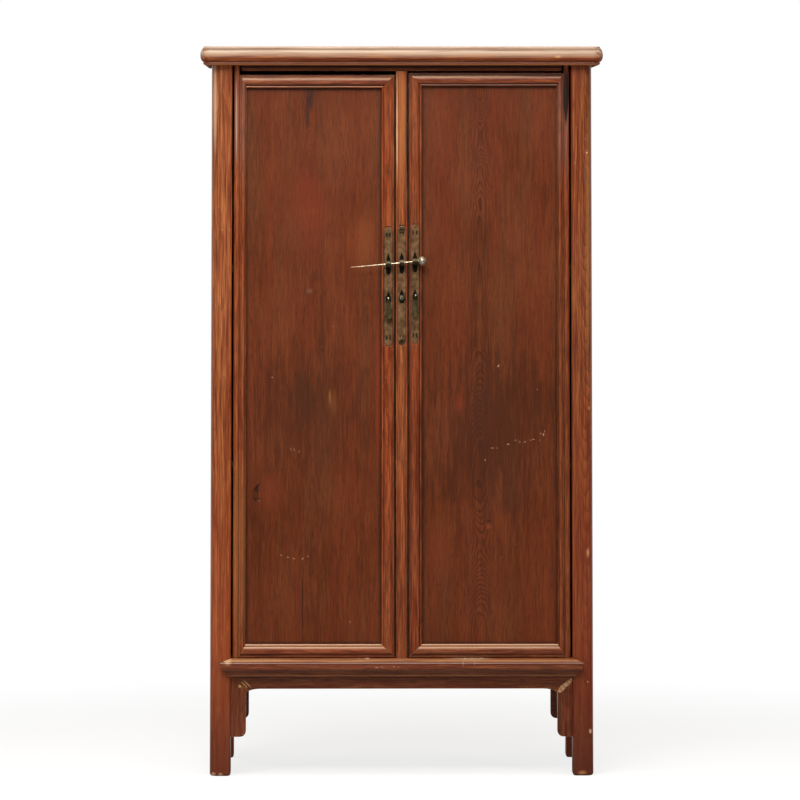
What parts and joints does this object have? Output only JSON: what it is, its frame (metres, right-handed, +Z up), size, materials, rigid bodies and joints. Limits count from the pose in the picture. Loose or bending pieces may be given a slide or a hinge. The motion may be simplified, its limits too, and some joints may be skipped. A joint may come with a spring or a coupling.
{
  "type": "round-corner cabinet",
  "caption": "Tall splayed wooden cabinet with a moulded overhanging top, pivoted panel doors, a removable centre post, shelves and a brass lock set with a sliding pin.",
  "frame": {"origin": "on the floor under the centre of the top", "axes": "+Z up, +X to the right of someone facing the doors, +Y from the doors to the back"},
  "size_m": [1.02, 0.5, 1.855],
  "materials": {
    "post_wood": "worn lacquer",
    "panel_wood": "worn lacquer",
    "inside_wood": "bare",
    "frame_wood": "worn lacquer",
    "plate_brass": "aged",
    "fitting_brass": "dark patina",
    "pin_metal": "pale, polished by use"
  },
  "bodies": {
    "cabinet": {"front_left_post": "post_wood", "front_right_post": "post_wood", "back_left_post": "post_wood", "back_right_post": "post_wood", "centre_post": "post_wood", "top_panel": "panel_wood", "left_side_panel": "panel_wood", "right_side_panel": "panel_wood", "back_panel_left": "panel_wood", "back_panel_right": "panel_wood", "top_batten": "inside_wood", "floor_panel": "inside_wood", "upper_shelf": "inside_wood", "lower_shelf": "inside_wood", "upper_left_bearer": "inside_wood", "upper_right_bearer": "inside_wood", "lower_left_bearer": "inside_wood", "lower_right_bearer": "inside_wood", "top_front_rail": "frame_wood", "top_back_rail": "frame_wood", "top_left_end": "frame_wood", "top_right_end": "frame_wood", "door_head_rail": "frame_wood", "door_sill_rail": "frame_wood", "back_lower_rail": "frame_wood", "left_lower_rail": "frame_wood", "right_lower_rail": "frame_wood", "back_muntin": "frame_wood", "front_apron": "frame_wood", "front_left_spandrel": "frame_wood", "front_right_spandrel": "frame_wood", "left_apron": "frame_wood", "right_apron": "frame_wood", "back_apron": "frame_wood", "centre_faceplate": "plate_brass", "centre_staple": "fitting_brass", "centre_boss": "fitting_brass"},
    "left_door": {"left_door_panel": "panel_wood", "left_door_upper_batten": "inside_wood", "left_door_lower_batten": "inside_wood", "left_door_outer_stile": "frame_wood", "left_door_meeting_stile": "frame_wood", "left_door_top_rail": "frame_wood", "left_door_bottom_rail": "frame_wood", "left_faceplate": "plate_brass", "left_staple": "fitting_brass", "left_pull_eye": "fitting_brass"},
    "right_door": {"right_door_panel": "panel_wood", "right_door_upper_batten": "inside_wood", "right_door_lower_batten": "inside_wood", "right_door_outer_stile": "frame_wood", "right_door_meeting_stile": "frame_wood", "right_door_top_rail": "frame_wood", "right_door_bottom_rail": "frame_wood", "right_faceplate": "plate_brass", "right_staple": "fitting_brass", "right_pull_eye": "fitting_brass"},
    "left_pull": {"left_pendant": "plate_brass"},
    "right_pull": {"right_pendant": "plate_brass"},
    "lock_pin": {"lock_pin": "pin_metal"}
  },
  "joints": [
    {"name": "left_door_swing", "type": "hinge", "parent": "cabinet", "child": "left_door", "pos_m": [-0.42307, -0.21459, 0.301], "axis": [-0.004, -0.0044, -1], "range_deg": [0, 105]},
    {"name": "right_door_swing", "type": "hinge", "parent": "cabinet", "child": "right_door", "pos_m": [0.42307, -0.21459, 0.301], "axis": [-0.004, 0.0044, 1], "range_deg": [0, 105]},
    {"name": "lock_pin_slide", "type": "slide", "parent": "cabinet", "child": "lock_pin", "axis": [0.9961, 0.0004, 0.0888], "range_m": [0, 0.16]},
    {"name": "left_pull_swing", "type": "hinge", "parent": "left_door", "child": "left_pull", "pos_m": [-0.03369, -0.22973, 1.2145], "axis": [-1, 0, 0], "range_deg": [-6, 90]},
    {"name": "right_pull_swing", "type": "hinge", "parent": "right_door", "child": "right_pull", "pos_m": [0.03369, -0.2297, 1.2205], "axis": [-1, 0, 0], "range_deg": [-6, 90]}
  ]
}
